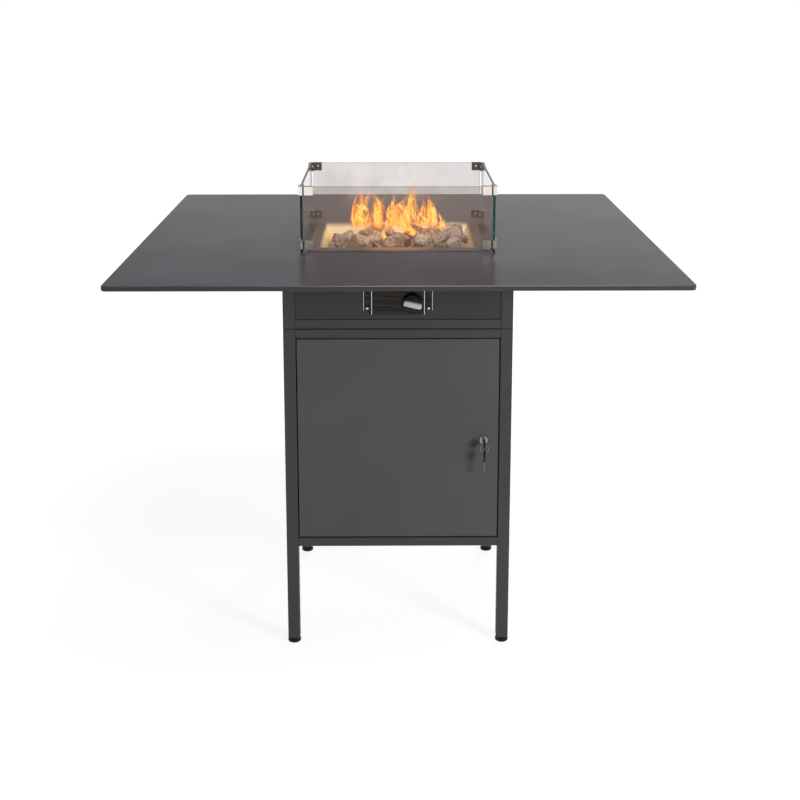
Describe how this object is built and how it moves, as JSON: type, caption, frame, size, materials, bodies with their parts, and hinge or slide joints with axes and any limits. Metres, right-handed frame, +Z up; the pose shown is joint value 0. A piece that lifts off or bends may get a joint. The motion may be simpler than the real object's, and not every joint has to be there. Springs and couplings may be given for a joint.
{
  "type": "fire pit table",
  "caption": "Square bar-height gas fire table on a slim lockable cabinet, with a sunken burner pan of lava rock inside a clamped glass wind guard.",
  "frame": {"origin": "on the floor, under the centre of the square top", "axes": "+Z up, front with the door and the control plate towards -Y, +X to the right seen from the front"},
  "size_m": [1.3, 1.3, 1.1838],
  "materials": {
    "frame_coat": "satin powder coat",
    "panel_coat": "satin powder coat",
    "burner_panel_coat": "satin powder coat",
    "compact_slab": "satin, faintly cloudy",
    "pan_steel": "satin, heat tinted",
    "plate_steel": "horizontally brushed, dark",
    "clamp_steel": "fine satin",
    "screw_steel": "bright",
    "lock_chrome": "bright",
    "key_steel": "nickel plated",
    "inner_steel": "mill",
    "inner_aluminium": "mill",
    "gas_brass": "machined",
    "guard_glass": "clear, green at the edges",
    "black_plastic": "fine moulded grain",
    "knob_plastic": "satin",
    "grip_plastic": "light grey, satin",
    "seal_rubber": "matt",
    "nylon": "natural nylon",
    "lava_stone": "rough, porous",
    "sensor_ceramic": "unglazed"
  },
  "bodies": {
    "cabinet": {"cabinet_legs": "frame_coat", "cabinet_rails": "frame_coat", "cabinet_panel_left": "panel_coat", "cabinet_panel_right": "panel_coat", "cabinet_panel_rear": "panel_coat", "bottle_shelf": "panel_coat", "leg_glides": "black_plastic", "module_gasket": "seal_rubber", "burner_module_posts": "frame_coat", "burner_module_rails": "frame_coat", "burner_panel_left": "burner_panel_coat", "burner_panel_right": "burner_panel_coat", "burner_panel_rear": "burner_panel_coat", "burner_panel_front": "burner_panel_coat", "burner_module_floor": "burner_panel_coat", "hose_grommet": "seal_rubber", "table_top": "compact_slab", "top_brackets": "inner_steel", "top_screws": "screw_steel", "fire_pan": "pan_steel", "burner_box": "pan_steel", "rock_grate": "inner_steel", "lava_rocks": "lava_stone", "control_plate": "plate_steel", "control_screws": "screw_steel", "igniter_barrel": "black_plastic", "igniter_nut": "inner_steel", "gas_valve": "gas_brass", "gas_inlet": "gas_brass", "gas_pipe": "inner_aluminium", "injector": "gas_brass", "sensor_bracket": "inner_steel", "flame_sensor": "inner_steel", "spark_electrode": "sensor_ceramic", "heat_shield": "inner_aluminium", "pivot_bushes": "nylon", "door_stop": "frame_coat"},
    "glass_guard": {"glass_front": "guard_glass", "glass_rear": "guard_glass", "glass_sides": "guard_glass", "clamp_shells": "clamp_steel", "clamp_inner_plates": "clamp_steel", "clamp_screws": "screw_steel"},
    "door": {"door_panel": "panel_coat", "door_stiffener": "panel_coat", "door_pivots": "inner_steel", "lock_housing": "lock_chrome", "lock_nut": "inner_steel"},
    "lock_core": {"lock_plug": "lock_chrome", "lock_cam": "inner_steel", "cam_screw": "screw_steel", "key": "key_steel"},
    "split_ring": {"key_ring": "key_steel"},
    "hanging_key": {"spare_key": "key_steel"},
    "spindle_push": {"spindle_collar": "inner_steel"},
    "knob": {"control_knob": "knob_plastic", "knob_grip": "grip_plastic", "valve_spindle": "inner_steel"},
    "spark_button": {"igniter_button": "black_plastic"}
  },
  "joints": [
    {"name": "door_swing", "type": "hinge", "parent": "cabinet", "child": "door", "pos_m": [-0.238, -0.293, 0.55], "axis": [0, 0, -1], "range_deg": [0, 110]},
    {"name": "lock_turn", "type": "hinge", "parent": "door", "child": "lock_core", "pos_m": [0.2137, -0.299, 0.548], "axis": [0, -1, 0], "range_deg": [0, 90]},
    {"name": "ring_turn", "type": "hinge", "parent": "lock_core", "child": "split_ring", "pos_m": [0.2137, -0.3352, 0.5372], "axis": [0, -1, 0], "range_deg": [-90, 0]},
    {"name": "spare_key_swing", "type": "hinge", "parent": "split_ring", "child": "hanging_key", "pos_m": [0.2137, -0.3352, 0.5272], "axis": [-1, 0, 0], "range_deg": [-15, 60]},
    {"name": "knob_push", "type": "slide", "parent": "cabinet", "child": "spindle_push", "axis": [0, 1, 0], "range_m": [0, 0.003], "stiffness_N_per_m": 900, "springref_m": -0.002},
    {"name": "knob_turn", "type": "hinge", "parent": "spindle_push", "child": "knob", "pos_m": [0.0344, -0.3152, 0.9027], "axis": [0, -1, 0], "range_deg": [-77, 103]},
    {"name": "igniter_push", "type": "slide", "parent": "cabinet", "child": "spark_button", "axis": [0, 1, 0], "range_m": [0, 0.004], "stiffness_N_per_m": 900, "springref_m": -0.002},
    {"name": "guard_lift", "type": "slide", "parent": "cabinet", "child": "glass_guard", "axis": [0, 0, 1], "range_m": [0, 0.25]}
  ],
  "couplings": [
    {"joint": "ring_turn", "follows": "lock_turn", "ratio": -1}
  ]
}
